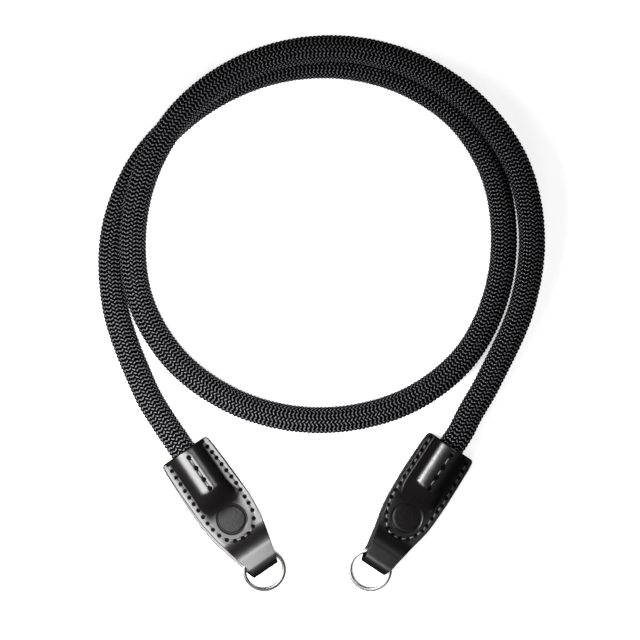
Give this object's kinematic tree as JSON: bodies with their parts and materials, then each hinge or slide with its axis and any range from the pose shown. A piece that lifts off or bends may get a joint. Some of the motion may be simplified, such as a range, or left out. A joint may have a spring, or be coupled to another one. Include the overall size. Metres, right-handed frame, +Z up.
{
  "type": "camera strap",
  "caption": "Coiled round braided rope camera strap with moulded leather end tabs and split rings, lying flat.",
  "frame": {"origin": "on the table, under the middle of the box round the two tabs and their rings", "axes": "+X from the left tab to the right tab, +Y towards the top of the coil, +Z up from the table"},
  "size_m": [0.1644, 0.2045, 0.0203],
  "materials": {
    "rope": "glossy braided polyester",
    "leather": "smooth semi-gloss",
    "steel": "polished"
  },
  "bodies": {
    "strap": {"rope": "rope", "left_tab": "leather", "right_tab": "leather"},
    "left_ring": {"left_ring": "steel"},
    "right_ring": {"right_ring": "steel"}
  },
  "joints": [
    {"name": "left_ring_swing", "type": "hinge", "parent": "strap", "child": "left_ring", "pos_m": [-0.02246, -0.01748, 0.00385], "axis": [-0.8251, -0.565, 0], "range_deg": [-15, 28]},
    {"name": "right_ring_swing", "type": "hinge", "parent": "strap", "child": "right_ring", "pos_m": [0.02181, -0.01743, 0.00385], "axis": [-0.8339, 0.5519, 0], "range_deg": [-15, 28]}
  ]
}
